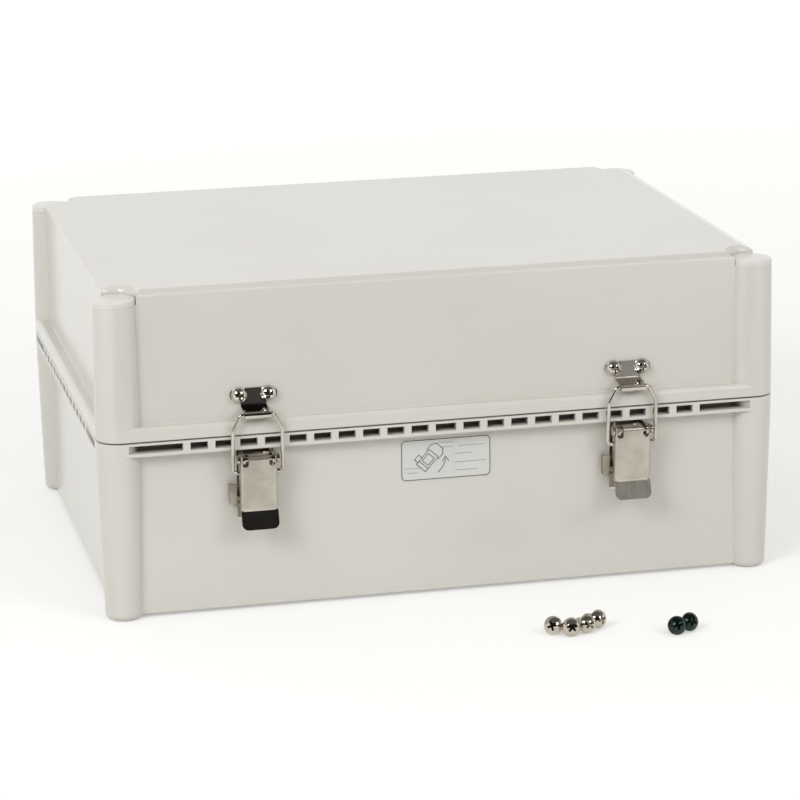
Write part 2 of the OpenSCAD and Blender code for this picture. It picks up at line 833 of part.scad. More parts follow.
module latch_bail(side) {
    side_x = bail_w / 2 - wire_r;
    right = [[flange_in - move_gap / 3, 0], [side_x + bail_splay, 0],
             [side_x, bail_len - shoulder_h], [bar_w / 2, bail_len]];
    left = [for (i = [len(right) - 1 : -1 : 0]) [-right[i][0], right[i][1]]];
    color("#c4c1bb") at_latch(side) translate([0, -foot_out, foot_z]) rotate([90 + bail_lean, 0, 0])
        bent_wire(concat(right, left), wire_r, bail_bend);
}

// Round wire along the given points in the plane, with bends of one radius
module bent_wire(pts, r, bend) {
    last = len(pts) - 1;
    for (i = [0 : last - 1]) {
        a = pts[i];
        b = pts[i + 1];
        d = (b - a) / norm(b - a);
        from = a + d * (i == 0 ? 0 : bend_trim(pts, i, bend) - wire_lap);
        to = b - d * (i == last - 1 ? 0 : bend_trim(pts, i + 1, bend) - wire_lap);
        translate([from[0], from[1], 0]) rotate([0, 90, heading(a, b)]) cylinder(r = r, h = norm(to - from));
    }
    for (i = [1 : last - 1]) {
        h = heading(pts[i - 1], pts[i]);
        turn = bend_turn(pts, i);
        s = sign(turn);
        start = pts[i] - bend_trim(pts, i, bend) * [cos(h), sin(h)];
        centre = start + s * bend * [-sin(h), cos(h)];
        translate([centre[0], centre[1], 0]) rotate([0, 0, s > 0 ? h - 90 : h + 90 + turn])
            rotate_extrude(angle = abs(turn)) translate([bend, 0]) circle(r - bend_thin);
    }
}

function heading(a, b) = atan2(b[1] - a[1], b[0] - a[0]);
function bend_turn(pts, i) =
    let (t = heading(pts[i], pts[i + 1]) - heading(pts[i - 1], pts[i]))
    t > 180 ? t - 360 : t < -180 ? t + 360 : t;
function bend_trim(pts, i, bend) = bend * tan(abs(bend_turn(pts, i)) / 2);

module safety_catch(side) {
    color("#a39f93") at_latch(side) translate([0, 0, catch_z]) difference() {
        union() {
            linear_extrude(catch_h, center = true) catch_plan();
            linear_extrude(catch_lug_h, center = true) translate([-flange_in + catch_side_gap, -catch_lug])
                square([catch_t, catch_lug - catch_top + catch_t]);
        }
        rotate([90, 0, 0]) linear_extrude(pivot_out) catch_slot(rivet_r + move_gap);
    }
}

// Slot that lets the catch slide on its rivet
module catch_slot(r) {
    for (x = [-catch_travel, 0]) translate([catch_rivet_x + x, 0]) circle(r);
    translate([catch_rivet_x - catch_travel, -r]) square([catch_travel, 2 * r]);
}

// Plan of the catch: flat strip under the lever, raised pad beside it
module catch_plan() {
    pad_l = -lever_w / 2 - catch_reach;
    pad_r = pad_l + catch_pad_w;
    low = -catch_top;
    high = -catch_pad_out;
    shift = 0.4 * catch_t;                   // of the ramp's inner side
    polygon([[catch_end, low + catch_t], [catch_end, low], [pad_r + catch_ramp, low], [pad_r, high],
             [pad_l, high], [pad_l, low + catch_t], [pad_l + catch_t, low + catch_t],
             [pad_l + catch_t, high + catch_t], [pad_r - shift, high + catch_t],
             [pad_r + catch_ramp - shift, low + catch_t]]);
}

// ---------- hinges ----------

// Side view of a hinge leaf's plate and joggled strip, drawn above the pin
module leaf_outline() {
    low = fitting_screw_up - head_r - head_gap;
    near = recess + hinge_gap + leaf_seat;
    bend_z = low - leaf_joggle;
    polygon([[0, low - sheet / 2], [0, fitting_screw_up + fitting_h / 2],
             [sheet, fitting_screw_up + fitting_h / 2], [sheet, low],
             [near + sheet, bend_z + sheet / 2], [near + sheet, 0], [near, 0], [near, bend_z]]);
}

// Leaf with knuckles at the given places and gaps at the others; up is 1 on
// the lid and -1 on the base
module hinge_leaf(side, up, knuckles, gaps) {
    color("#b8b6b1") at_hinge(side) translate([0, 0, seam_z]) mirror([0, 0, up < 0 ? 1 : 0]) difference() {
        union() {
            difference() {
                across(hinge_len) leaf_outline();
                for (k = gaps) translate([knuckle_x(k), -hinge_out, 0])
                    cube([knuckle_len + 2 * hinge_play, 4 * knuckle_r, 2 * (knuckle_r + move_gap)],
                         center = true);
            }
            for (k = knuckles) translate([knuckle_x(k), -hinge_out, 0]) rotate([0, 90, 0])
                cylinder(r = knuckle_r, h = knuckle_len, center = true);
        }
        translate([0, -hinge_out, 0]) rotate([0, 90, 0])
            cylinder(r = hinge_pin_r + pin_play, h = hinge_len + 2, center = true);
        for (s = [-1, 1]) translate([s * fitting_pitch / 2, 0, fitting_screw_up])
            rotate([90, 0, 0]) wall_hole();
    }
}

function knuckle_x(k) = (k - 2) * hinge_len / 5;

module hinge_base_leaf(side) { hinge_leaf(side, -1, [0, 2, 4], [1, 3]); }
module hinge_lid_leaf(side) { hinge_leaf(side, 1, [1, 3], [0, 2, 4]); }

module hinge_pin(side) {
    color("#c9c7c2") at_hinge(side) translate([0, -hinge_out, seam_z]) rotate([0, 90, 0]) {
        cylinder(r = hinge_pin_r, h = hinge_len + pin_head_t, center = true);
        for (s = [-1, 1]) translate([0, 0, s * (hinge_len + hinge_play + pin_head_t) / 2])
            cylinder(r = knuckle_r - hinge_play, h = pin_head_t, center = true);
    }
}

// ---------- nodes ----------

module left_latch_base() { latch_base(-1); }
module right_latch_base() { latch_base(1); }
module left_lever_pin() { lever_pin(-1); }
module right_lever_pin() { lever_pin(1); }
module left_hinge_base_leaf() { hinge_base_leaf(-1); }
module right_hinge_base_leaf() { hinge_base_leaf(1); }
module left_hinge_lid_leaf() { hinge_lid_leaf(-1); }
module right_hinge_lid_leaf() { hinge_lid_leaf(1); }
module left_hinge_pin() { hinge_pin(-1); }
module right_hinge_pin() { hinge_pin(1); }
module left_keeper() { keeper(-1); }
module right_keeper() { keeper(1); }
module left_latch_lever() { latch_lever(-1); }
module right_latch_lever() { latch_lever(1); }
module left_latch_bail() { latch_bail(-1); }
module right_latch_bail() { latch_bail(1); }
module left_safety_catch() { safety_catch(-1); }
module right_safety_catch() { safety_catch(1); }

module latch_base_screws() {
    color("#c9c7c2") for (side = [-1, 1]) at_latch(side) at_latch_screws() wall_screw();
}

module keeper_screws() {
    color("#d4d2ce") for (side = [-1, 1]) at_latch(side) at_fitting_screws(1) wall_screw();
}

module hinge_base_screws() {
    color("#d4d2ce") for (side = [-1, 1]) at_hinge(side) at_fitting_screws(-1) wall_screw();
}

module hinge_lid_screws() {
    color("#d4d2ce") for (side = [-1, 1]) at_hinge(side) at_fitting_screws(1) wall_screw();
}

base_shell();
plate_inserts();
mounting_plate();
plate_screws();
earth_screws();
opening_label();
left_latch_base();
right_latch_base();
latch_base_screws();
left_lever_pin();
right_lever_pin();
left_hinge_base_leaf();
right_hinge_base_leaf();
left_hinge_pin();
right_hinge_pin();
hinge_base_screws();
base_nuts();
lid_shell();
corner_caps();
seal_gasket();
left_keeper();
right_keeper();
keeper_screws();
left_hinge_lid_leaf();
right_hinge_lid_leaf();
hinge_lid_screws();
lid_nuts();
left_latch_lever();
right_latch_lever();
left_latch_bail();
right_latch_bail();
left_safety_catch();
right_safety_catch();
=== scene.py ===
"""Hinged polycarbonate enclosure: finishes, label print, studio and camera."""
import math

import bmesh
import bpy
from mathutils import Matrix, Vector


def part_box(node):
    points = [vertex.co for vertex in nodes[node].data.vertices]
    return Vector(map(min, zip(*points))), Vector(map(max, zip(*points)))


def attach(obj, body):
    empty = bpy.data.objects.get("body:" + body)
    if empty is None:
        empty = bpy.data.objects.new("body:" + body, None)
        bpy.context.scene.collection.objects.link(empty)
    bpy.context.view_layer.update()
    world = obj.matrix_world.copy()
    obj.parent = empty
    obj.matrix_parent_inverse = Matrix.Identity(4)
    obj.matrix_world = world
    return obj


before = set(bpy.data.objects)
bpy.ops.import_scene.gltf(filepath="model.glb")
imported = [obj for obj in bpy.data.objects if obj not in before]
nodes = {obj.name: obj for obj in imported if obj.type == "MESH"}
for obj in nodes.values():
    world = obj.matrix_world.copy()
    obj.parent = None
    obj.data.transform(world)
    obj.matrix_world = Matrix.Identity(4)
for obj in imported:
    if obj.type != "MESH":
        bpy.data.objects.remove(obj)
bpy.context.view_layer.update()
MM = 0.001


# ---------- wiring helpers ----------

GRAIN_DEPTH = 0.02 * MM    # how high grain, hairlines and dimples stand


def screen(r, g, b):
    """A colour given as 0 to 255 on a screen, as the linear colour of the shader."""
    def one(c):
        c = c / 255
        return c / 12.92 if c <= 0.04045 else ((c + 0.055) / 1.055) ** 2.4
    return (one(r), one(g), one(b), 1.0)


class Wiring:
    """A node tree, and the material that it belongs to, with short calls for its nodes."""

    def __init__(self, tree, material=None):
        self.tree = tree
        self.material = material

    def join(self, source, target):
        self.tree.links.new(source, target)

    def feed(self, socket, value):
        """Joins the socket to the value if that is a socket too, and sets it if not."""
        if isinstance(value, bpy.types.NodeSocket):
            self.join(value, socket)
        else:
            socket.default_value = value

    def add(self, kind, inputs=None, **settings):
        """A new node with these settings, and what feeds its inputs."""
        node = self.tree.nodes.new(kind)
        for key, value in settings.items():
            setattr(node, key, value)
        for key, value in (inputs or {}).items():
            self.feed(node.inputs[key], value)
        return node

    def place(self):
        """Where on the object a point lies."""
        return self.add("ShaderNodeTexCoord").outputs["Object"]

    def axes(self, vector):
        """The X, Y and Z of a vector."""
        return self.add("ShaderNodeSeparateXYZ", {"Vector": vector}).outputs

    def mapped(self, vector, scale=(1, 1, 1), rotation=(0, 0, 0)):
        node = self.add("ShaderNodeMapping", {"Vector": vector, "Scale": scale,
                                              "Rotation": rotation})
        return node.outputs["Vector"]

    def noise(self, vector, scale, detail=2.0, roughness=0.5):
        node = self.add("ShaderNodeTexNoise", {"Vector": vector, "Scale": scale,
                                               "Detail": detail, "Roughness": roughness})
        return node.outputs["Fac"]

    def math(self, operation, a, b=0.0, c=0.0):
        return self.add("ShaderNodeMath", {0: a, 1: b, 2: c}, operation=operation).outputs[0]

    def spread(self, value, low, high, start=0.0, end=1.0):
        """The value from low..high as start..end, and no further."""
        node = self.add("ShaderNodeMapRange", {"Value": value, "From Min": low, "From Max": high,
                                               "To Min": start, "To Max": end})
        return node.outputs["Result"]

    def mix(self, factor, a, b):
        """A number between a and b."""
        return self.add("ShaderNodeMix", {0: factor, 2: a, 3: b}).outputs[0]

    def blend(self, factor, a, b):
        """A colour between a and b."""
        return self.add("ShaderNodeMix", {0: factor, 6: a, 7: b}, data_type="RGBA").outputs[2]

    def bump(self, height, strength, distance=GRAIN_DEPTH):
        node = self.add("ShaderNodeBump", {"Height": height, "Strength": strength,
                                           "Distance": distance})
        return node.outputs["Normal"]


def finish(name, **fixed):
    """A new material's wiring and its shader, with the shader's fixed values set."""
    material = bpy.data.materials.new(name)
    material.use_nodes = True
    shader = material.node_tree.nodes["Principled BSDF"]
    for key, value in fixed.items():
        shader.inputs[key.replace("_", " ")].default_value = value
    return Wiring(material.node_tree, material), shader


def new_group(name, inputs, outputs):
    """A shader node group; inputs are (name, kind, value) and outputs (name, kind)."""
    tree = bpy.data.node_groups.new(name, "ShaderNodeTree")
    for label, kind, value in inputs:
        socket = tree.interface.new_socket(label, in_out="INPUT", socket_type=kind)
        if value is not None:
            socket.default_value = value
    for label, kind in outputs:
        tree.interface.new_socket(label, in_out="OUTPUT", socket_type=kind)
    w = Wiring(tree)
    return w, w.add("NodeGroupInput").outputs, w.add("NodeGroupOutput").inputs


def use_group(w, tree, **values):
    return w.add("ShaderNodeGroup", values, node_tree=tree).outputs


# ---------- shared effects ----------

def make_moulding_group():
    """Fine mould grain, faint flow clouds and light rub marks of moulded plastic."""
    w, given, out = new_group(
        "moulding",
        [("Vector", "NodeSocketVector", None), ("Grain", "NodeSocketFloat", 2600.0),
         ("Clouds", "NodeSocketFloat", 9.0)],
        [("Height", "NodeSocketFloat"), ("Tone", "NodeSocketFloat"), ("Rub", "NodeSocketFloat")])
    place = given["Vector"]
    ripple_share = 0.15
    grain = w.noise(place, given["Grain"], detail=3.0, roughness=0.6)
    ripple = w.noise(place, scale=160.0)
    w.join(w.math("MULTIPLY_ADD", ripple, ripple_share, grain), out["Height"])
    clouds = w.noise(place, given["Clouds"], roughness=0.45)
    w.join(w.spread(clouds, 0.3, 0.7), out["Tone"])
    streaks = w.noise(w.mapped(place, (30, 30, 6)), scale=3.0, detail=3.0, roughness=0.6)
    w.join(w.spread(streaks, 0.45, 0.75), out["Rub"])
    return w.tree


def make_handling_group():
    """Hairline scratches along one direction, finger smudges and dimples of bare metal."""
    w, given, out = new_group(
        "handling",
        [("Vector", "NodeSocketVector", None), ("Stretch", "NodeSocketVector", (1, 1, 1)),
         ("Hairlines", "NodeSocketFloat", 3000.0)],
        [("Height", "NodeSocketFloat"), ("Smudge", "NodeSocketFloat"),
         ("Mottle", "NodeSocketFloat")])
    place = given["Vector"]
    stretched = w.add("ShaderNodeVectorMath", {0: place, 1: given["Stretch"]},
                      operation="MULTIPLY").outputs[0]
    w.join(w.noise(stretched, given["Hairlines"], detail=3.0, roughness=0.65), out["Height"])
    smudges = w.noise(place, scale=95.0, detail=3.0, roughness=0.55)
    w.join(w.spread(smudges, 0.42, 0.68), out["Smudge"])
    dimples = w.noise(place, scale=900.0, roughness=0.6)
    w.join(w.spread(dimples, 0.35, 0.65), out["Mottle"])
    return w.tree


moulding = make_moulding_group()
handling = make_handling_group()


# ---------- finishes ----------

POLYCARBONATE_IOR = 1.585
CLOUD_ROUGHNESS = 0.03     # more roughness in the deeper clouds of moulded plastic
RUB_ROUGHNESS = 0.02       # and in its rub marks

SEAM = 0.8 * MM            # between the rims of base and lid
# Painted shade in the pockets: the base colour turns grey inside them in place of their shadow.
POCKET_SHADE = 1.0 * MM    # how far into a pocket its shade begins
POCKET_DARK = 5.0 * MM     # and how far in it is full
POCKET_REACH = 9.5 * MM    # past a pocket's back, short of the box's inside
POCKET_END = 15.5 * MM     # from the box's corner to just short of the first pocket
POCKET_TOP = 1.0 * MM      # just above the pockets, down from the rim's top
POCKET_FLOOR = 5.7 * MM    # just below them
POCKET_PAINTED_GREY = screen(112, 108, 100)

TIP_LENGTH = 11.0 * MM     # the lever's polished thumb tip, up from its lower edge
TIP_FADE = 0.4 * MM        # half of the band where polish turns to satin


def painted_pocket_shade(w, place):
    """Mask of painted shade: 1 deep in the pockets of the base's rim, 0 at their mouths and
    elsewhere.
    """
    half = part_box("base_shell")[1]
    rim_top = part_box("lid_shell")[0].z - SEAM
    x, y, z = w.axes(place)
    inwards = [w.math("SUBTRACT", edge, w.math("ABSOLUTE", value))
               for edge, value in ((half.x, x), (half.y, y))]
    rows = []
    for depth, along in (inwards, inwards[::-1]):
        shade = w.spread(depth, POCKET_SHADE, POCKET_DARK)
        shade = w.math("MULTIPLY", shade, w.math("LESS_THAN", depth, POCKET_REACH))
        rows.append(w.math("MULTIPLY", shade, w.math("GREATER_THAN", along, POCKET_END)))
    band = w.math("MULTIPLY", w.math("LESS_THAN", z, rim_top - POCKET_TOP),
                  w.math("GREATER_THAN", z, rim_top - POCKET_FLOOR))
    return w.math("MULTIPLY", w.math("MAXIMUM", *rows), band)


def moulded(name, colour, deeper, roughness, grain, bump, pockets=False):
    """Moulded plastic: light grain, clouds of tone and gloss that varies a little, with painted
    shade deep in the base's pockets if asked.
    """
    w, shader = finish(name, IOR=POLYCARBONATE_IOR)
    place = w.place()
    look = use_group(w, moulding, Vector=place, Grain=grain)
    tone = w.blend(look["Tone"], colour, deeper)
    # Painted shade: the base colour is blended to grey deep in the pockets, standing in for their
    # shadow.
    if pockets:
        tone = w.blend(painted_pocket_shade(w, place), tone, POCKET_PAINTED_GREY)
    w.join(tone, shader.inputs["Base Color"])
    rough = w.math("MULTIPLY_ADD", look["Tone"], CLOUD_ROUGHNESS, roughness)
    rough = w.math("MULTIPLY_ADD", look["Rub"], RUB_ROUGHNESS, rough)
    w.join(rough, shader.inputs["Roughness"])
    w.join(w.bump(look["Height"], bump), shader.inputs["Normal"])
    return w.material


def bare_metal(name, colour, tint, roughness, smudge, bump, stretch=(1, 1, 1)):
    """Bare or plated metal with hairlines, and smudges of another tint and roughness."""
    w, shader = finish(name, Metallic=1.0)
    look = use_group(w, handling, Vector=w.place(), Stretch=stretch)
    w.join(w.blend(look["Smudge"], colour, tint), shader.inputs["Base Color"])
    w.join(w.math("MULTIPLY_ADD", look["Smudge"], smudge, roughness), shader.inputs["Roughness"])
    w.join(w.bump(look["Height"], bump), shader.inputs["Normal"])
    return w.material


def lever_steel():
    """Satin lever face, brushed across, with a polished and slightly dimpled thumb tip."""
    w, shader = finish("lever_steel", Metallic=1.0)
    place = w.place()
    look = use_group(w, handling, Vector=place, Stretch=(0.05, 0.3, 1.0), Hairlines=2600.0)
    w.join(w.blend(look["Smudge"], screen(198, 192, 181), screen(182, 175, 163)),
           shader.inputs["Base Color"])
    tip_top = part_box("left_latch_lever")[0].z + TIP_LENGTH
    on_face = w.spread(w.axes(place)["Z"], tip_top - TIP_FADE, tip_top + TIP_FADE)
    polished = w.math("MULTIPLY_ADD", look["Mottle"], 0.06, 0.10)
    satin = w.math("MULTIPLY_ADD", look["Smudge"], 0.06, 0.30)
    w.join(w.mix(on_face, polished, satin), shader.inputs["Roughness"])
    dimples = w.math("MULTIPLY", look["Mottle"], 2.5)
    height = w.mix(on_face, dimples, look["Height"])
    w.join(w.bump(height, 0.12), shader.inputs["Normal"])
    return w.material


def zinc_sheet():
    """Zinc-plated sheet with a soft crystal pattern."""
    w, shader = finish("zinc_sheet", Metallic=1.0)
    place = w.place()
    look = use_group(w, handling, Vector=place, Stretch=(1, 0.02, 1), Hairlines=900.0)
    crystals = w.add("ShaderNodeTexVoronoi", {"Vector": place, "Scale": 90.0}).outputs["Color"]
    crystal_share = 0.05
    pale = w.blend(look["Smudge"], screen(198, 201, 203), screen(182, 185, 190))
    w.join(w.blend(crystal_share, pale, crystals), shader.inputs["Base Color"])
    w.join(w.math("MULTIPLY_ADD", look["Smudge"], 0.12, 0.32), shader.inputs["Roughness"])
    w.join(w.bump(look["Height"], 0.1), shader.inputs["Normal"])
    return w.material


def knurled_brass():
    """Brass inserts with a diamond knurl."""
    w, shader = finish("knurled_brass", Metallic=1.0)
    place = w.place()
    look = use_group(w, handling, Vector=place)
    w.join(w.blend(look["Smudge"], screen(201, 168, 98), screen(176, 140, 76)),
           shader.inputs["Base Color"])
    knurl_turn = 0.8
    ridges = [w.add("ShaderNodeTexWave",
                    {"Vector": w.mapped(place, rotation=(0, knurl_turn * side, knurl_turn)),
                     "Scale": 300.0}).outputs["Fac"] for side in (-1, 1)]
    w.join(w.bump(w.math("MULTIPLY", *ridges), 0.4, 0.2 * MM), shader.inputs["Normal"])
    w.join(w.math("MULTIPLY_ADD", look["Smudge"], 0.1, 0.24), shader.inputs["Roughness"])
    return w.material


def seal_foam():
    """Dark closed-cell foam with fine pores."""
    w, shader = finish("seal_foam", Specular_IOR_Level=0.3)
    place = w.place()
    pores = w.add("ShaderNodeTexVoronoi", {"Vector": place, "Scale": 1600.0}).outputs["Distance"]
    w.join(w.blend(w.spread(pores, 0.1, 0.6), screen(34, 34, 35), screen(58, 58, 59)),
           shader.inputs["Base Color"])
    w.join(w.spread(w.noise(place, scale=60.0), 0.3, 0.7, 0.75, 0.9), shader.inputs["Roughness"])
    w.join(w.bump(pores, 0.5, 0.15 * MM), shader.inputs["Normal"])
    return w.material


def label_film():
    """Satin polyester film, pale with a cool tint."""
    w, shader = finish("label_film")
    look = use_group(w, moulding, Vector=w.place(), Grain=4000.0, Clouds=40.0)
    w.join(w.blend(look["Tone"], screen(212, 212, 207), screen(207, 208, 203)),
           shader.inputs["Base Color"])
    w.join(w.math("MULTIPLY_ADD", look["Rub"], 0.08, 0.34), shader.inputs["Roughness"])
    w.join(w.bump(look["Height"], 0.06), shader.inputs["Normal"])
    return w.material


def label_ink(name, full, thin):
    """Printing ink, a little uneven: the colours where it lies full and thin."""
    w, shader = finish(name, Specular_IOR_Level=0.35)
    cover = w.spread(w.noise(w.place(), scale=700.0, roughness=0.6), 0.35, 0.65)
    w.join(w.blend(cover, full, thin), shader.inputs["Base Color"])
    w.join(w.spread(cover, 0.0, 1.0, 0.45, 0.6), shader.inputs["Roughness"])
    return w.material


# box_plastic carries the painted shade in the pockets of the base's rim.
box_plastic = moulded("box_plastic", screen(212, 209, 202), screen(209, 205, 197),
                      roughness=0.12, grain=2600.0, bump=0.015, pockets=True)
cap_plastic = moulded("cap_plastic", screen(218, 215, 208), screen(214, 211, 204),
                      roughness=0.11, grain=3200.0, bump=0.015)
bright_nickel = bare_metal("bright_nickel", screen(220, 214, 204), screen(200, 194, 183),
                           roughness=0.05, smudge=0.05, bump=0.05)
polished_steel = bare_metal("polished_steel", screen(205, 200, 192), screen(190, 184, 175),
                            roughness=0.05, smudge=0.04, bump=0.08, stretch=(0.06, 1, 1))
drawn_wire = bare_metal("drawn_wire", screen(202, 196, 184), screen(182, 176, 164),
                        roughness=0.05, smudge=0.05, bump=0.06, stretch=(1, 1, 0.05))
catch_steel = bare_metal("catch_steel", screen(166, 159, 144), screen(146, 139, 125),
                         roughness=0.24, smudge=0.08, bump=0.12, stretch=(1, 1, 0.05))
dark_zinc = bare_metal("dark_zinc", screen(58, 74, 66), screen(38, 50, 45),
                       roughness=0.20, smudge=0.10, bump=0.08)
# A darker, slightly rougher copy of bright nickel for the loose screws; the darker colour is
# painted shade for their dimmer reflections.
painted_shade_nickel = bare_metal("painted_shade_nickel", screen(204, 197, 183), screen(182, 175, 161),
                         roughness=0.07, smudge=0.08, bump=0.06)

FINISHES = {
    box_plastic: ["base_shell", "lid_shell"],
    cap_plastic: ["corner_caps"],
    bright_nickel: ["plate_screws", "latch_base_screws", "keeper_screws", "hinge_base_screws",
                    "hinge_lid_screws", "base_nuts", "lid_nuts"],
    polished_steel: ["left_latch_base", "right_latch_base", "left_keeper", "right_keeper",
                     "left_hinge_base_leaf", "right_hinge_base_leaf", "left_hinge_lid_leaf",
                     "right_hinge_lid_leaf"],
    drawn_wire: ["left_latch_bail", "right_latch_bail", "left_lever_pin", "right_lever_pin",
                 "left_hinge_pin", "right_hinge_pin"],
    catch_steel: ["left_safety_catch", "right_safety_catch"],
    lever_steel(): ["left_latch_lever", "right_latch_lever"],
    zinc_sheet(): ["mounting_plate"],
    knurled_brass(): ["plate_inserts"],
    dark_zinc: ["earth_screws"],
    seal_foam(): ["seal_gasket"],
    label_film(): ["opening_label"],
}

for material, names in FINISHES.items():
    for name in names:
        mesh = nodes[name].data
        mesh.materials.clear()
        mesh.materials.append(material)


# ---------- new pieces ----------

def new_object(name, bm, material):
    """A piece from a finished bmesh, which is freed."""
    bmesh.ops.recalc_face_normals(bm, faces=bm.faces[:])
    mesh = bpy.data.meshes.new(name)
    bm.to_mesh(mesh)
    bm.free()
    piece = bpy.data.objects.new(name, mesh)
    bpy.context.scene.collection.objects.link(piece)
    mesh.materials.append(material)
    return piece


# ---------- label print, drawn in millimetres from the label's middle ----------

WALL_DRAFT = math.radians(0.3)
INK_THICKNESS = 0.04 * MM
BORDER_LINE = 0.45 * MM
BORDER_GAP = 0.4 * MM      # from the label's edge to the border
BORDER_RADIUS = 2.6 * MM
DRAWN_LINE = 0.42 * MM
RULED_LINE = 0.32 * MM

LEVER_MIDDLE = (-10.0, 0.0)
LEVER_LEAN = -42
# Each ruled line's left end, height and length.
RULED_LINES = ((-4.5, 9.0, 8.5), (-3.2, 6.4, 7.0), (-23.0, -4.6, 8.0), (-21.5, -7.2, 5.5),
               (7.0, 6.6, 14.5), (5.2, 2.2, 9.5), (5.2, -2.6, 17.5), (5.2, -7.2, 12.5))

label_low, label_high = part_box("opening_label")
label_w = label_high.x - label_low.x
label_h = label_high.z - label_low.z


def label_plane():
    """Places a flat drawing, x right and z up about its middle, on the label's front."""
    lean = label_h * math.tan(WALL_DRAFT)
    middle = Vector(((label_low.x + label_high.x) / 2, label_low.y + lean / 2,
                     (label_low.z + label_high.z) / 2))
    return Matrix.Translation(middle) @ Matrix.Rotation(WALL_DRAFT, 4, "X")


def thicken(bm, faces):
    """Gives flat faces the thickness of the ink, out of the label."""
    made = bmesh.ops.extrude_face_region(bm, geom=faces)
    verts = [v for v in made["geom"] if isinstance(v, bmesh.types.BMVert)]
    bmesh.ops.translate(bm, verts=verts, vec=(0, -INK_THICKNESS, 0))


def add_stroke(bm, start, end, width):
    """A straight printed line between two points, longer by half its width at each end."""
    a, b = (Vector((p[0] * MM, 0, p[1] * MM)) for p in (start, end))
    along = b - a
    length = along.length + width
    made = bmesh.ops.create_cube(bm, size=1)
    turn = Vector((1, 0, 0)).rotation_difference(along.normalized()).to_matrix().to_4x4()
    place = Matrix.Translation((a + b) / 2 + Vector((0, -INK_THICKNESS / 2, 0)))
    size = Matrix.Diagonal((length, INK_THICKNESS, width, 1))
    bmesh.ops.transform(bm, matrix=place @ turn @ size, verts=made["verts"])


def add_path(bm, points, closed=False):
    """Drawn lines from point to point."""
    for start, end in zip(points, points[1:] + points[:1] if closed else points[1:]):
        add_stroke(bm, start, end, DRAWN_LINE)


def add_border(bm, w, h, radius, width):
    """A line round a rectangle with round corners."""
    made = bmesh.ops.create_grid(bm, x_segments=1, y_segments=1, size=0.5)
    flat = Matrix.Rotation(math.radians(90), 4, "X") @ Matrix.Diagonal((w, h, 1, 1))
    bmesh.ops.transform(bm, matrix=flat, verts=made["verts"])
    bmesh.ops.bevel(bm, geom=made["verts"], offset=radius, offset_type="OFFSET", segments=6,
                    affect="VERTICES", profile=0.5, material=-1)
    ring = bmesh.ops.inset_region(bm, faces=bm.faces[:], thickness=width, use_even_offset=True,
                                  use_boundary=True)
    inner = [f for f in bm.faces if f not in ring["faces"]]
    bmesh.ops.delete(bm, geom=inner, context="FACES_ONLY")
    thicken(bm, bm.faces[:])


def rectangle(left, low, right, high):
    return [(left, low), (right, low), (right, high), (left, high)]


def turned(points, middle, degrees):
    c, s = math.cos(math.radians(degrees)), math.sin(math.radians(degrees))
    return [(middle[0] + x * c - y * s, middle[1] + x * s + y * c) for x, y in points]


def arc(middle, radius, start, end, steps):
    angles = (math.radians(start + (end - start) * i / steps) for i in range(steps + 1))
    return [(middle[0] + radius * math.cos(a), middle[1] + radius * math.sin(a)) for a in angles]


def make_label_border():
    bm = bmesh.new()
    add_border(bm, label_w - 2 * BORDER_GAP, label_h - 2 * BORDER_GAP, BORDER_RADIUS, BORDER_LINE)
    bmesh.ops.transform(bm, matrix=label_plane(), verts=bm.verts[:])
    return new_object("label_border", bm, ink)


def make_label_drawing():
    """A plain drawing of a lever with its bow and catch, and an arrow for its swing."""
    lever = rectangle(-3.4, -6.2, 3.4, 4.6)
    face = rectangle(-2.2, -2.6, 2.2, 2.6)
    tip = rectangle(-3.4, -6.2, 3.4, -3.9)
    catch = rectangle(-5.9, -5.0, -3.4, -1.4)
    bow = [(-4.3, 3.4), (-4.3, 7.4), (-2.4, 9.8), (2.4, 9.8), (4.3, 7.4), (4.3, 3.4)]
    swing = arc((-11.5, 1.5), radius=11.4, start=-52, end=-8, steps=8)
    arrow_head = [(-2.0, -1.3), (-0.2, 1.2), (1.6, -1.6)]
    bm = bmesh.new()
    for outline in (lever, face, tip, catch):
        add_path(bm, turned(outline, LEVER_MIDDLE, LEVER_LEAN), closed=True)
    add_path(bm, turned(bow, LEVER_MIDDLE, LEVER_LEAN))
    add_path(bm, swing)
    add_path(bm, arrow_head)
    bmesh.ops.transform(bm, matrix=label_plane(), verts=bm.verts[:])
    return new_object("label_drawing", bm, ink)


def make_label_rules():
    """Plain ruled lines beside the drawing."""
    bm = bmesh.new()
    for x, z, length in RULED_LINES:
        add_stroke(bm, (x, z), (x + length, z), RULED_LINE)
    bmesh.ops.transform(bm, matrix=label_plane(), verts=bm.verts[:])
    return new_object("label_rules", bm, ink_pale)


ink = label_ink("label_ink", screen(66, 66, 66), screen(92, 92, 91))
ink_pale = label_ink("label_ink_pale", screen(138, 138, 136), screen(160, 160, 158))

for printed in (make_label_border(), make_label_drawing(), make_label_rules()):
    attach(printed, "base")


# ---------- loose screws on the floor, which are not part of the box ----------

HEAD_RADIUS = 4.45 * MM
SHANK_RADIUS = 2.4 * MM
HEAD_HEIGHT = 3.4 * MM
ONE_SCREW = 1.5 * HEAD_RADIUS    # what lies further from a screw's axis is another screw
WELD = 0.0005 * MM
# Each screw's x and y in millimetres, then the turn and the roll of its axis in degrees.
PLATE_SCREW_SPOTS = ((38.8, -216.4, -28, 20), (47.4, -221.4, -8, 48), (57.0, -218.6, 8, 38),
                     (64.8, -212.6, 20, 12))
EARTH_SCREW_SPOTS = ((102.4, -233.0, -8, 15), (110.8, -229.0, 12, 60))


